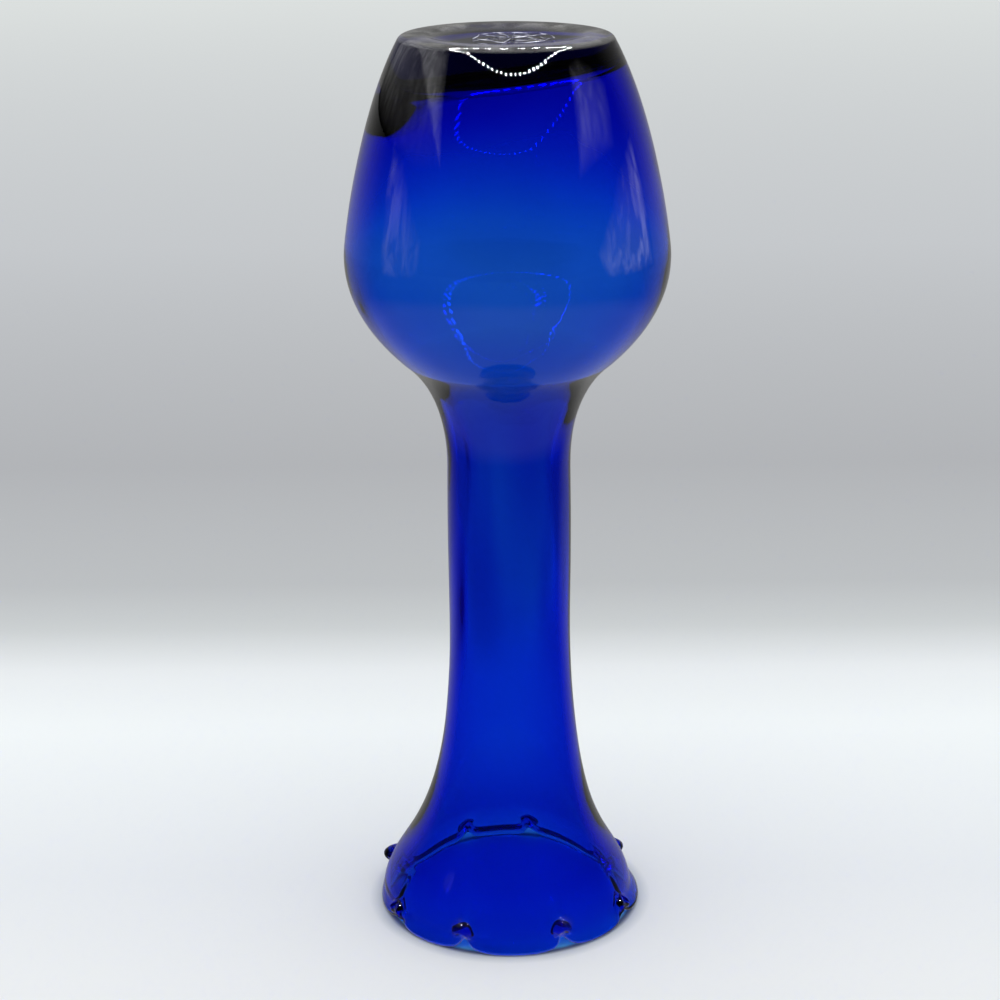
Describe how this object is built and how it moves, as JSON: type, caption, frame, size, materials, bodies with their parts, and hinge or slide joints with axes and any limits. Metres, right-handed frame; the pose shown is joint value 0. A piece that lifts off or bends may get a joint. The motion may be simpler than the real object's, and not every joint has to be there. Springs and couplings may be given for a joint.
{
  "type": "bud vase",
  "caption": "Tall hand-blown cobalt glass bud vase with an onion-shaped bowl, a slim neck and a trumpet mouth with a crimped rim, stored standing on its rim.",
  "frame": {"origin": "on the vase's axis, in the plane that the rim's lobes stand on, with the vase upside down as pictured", "axes": "+Z along the axis from the rim up to the base, -Y towards the camera, +X to the camera's right; turn 180 degrees about X to stand the vase on its base"},
  "size_m": [0.0892, 0.0892, 0.254],
  "materials": {
    "cobalt_glass": "fire-polished transparent cobalt-blue glass",
    "broken_glass": "rough broken cobalt-blue glass with whitish edges"
  },
  "bodies": {
    "root": {"base_pad": "cobalt_glass", "bowl": "cobalt_glass", "shoulder": "cobalt_glass", "neck": "cobalt_glass", "trumpet_mouth": "cobalt_glass", "crimped_lip": "cobalt_glass", "pontil_scar": "broken_glass"}
  },
  "joints": []
}
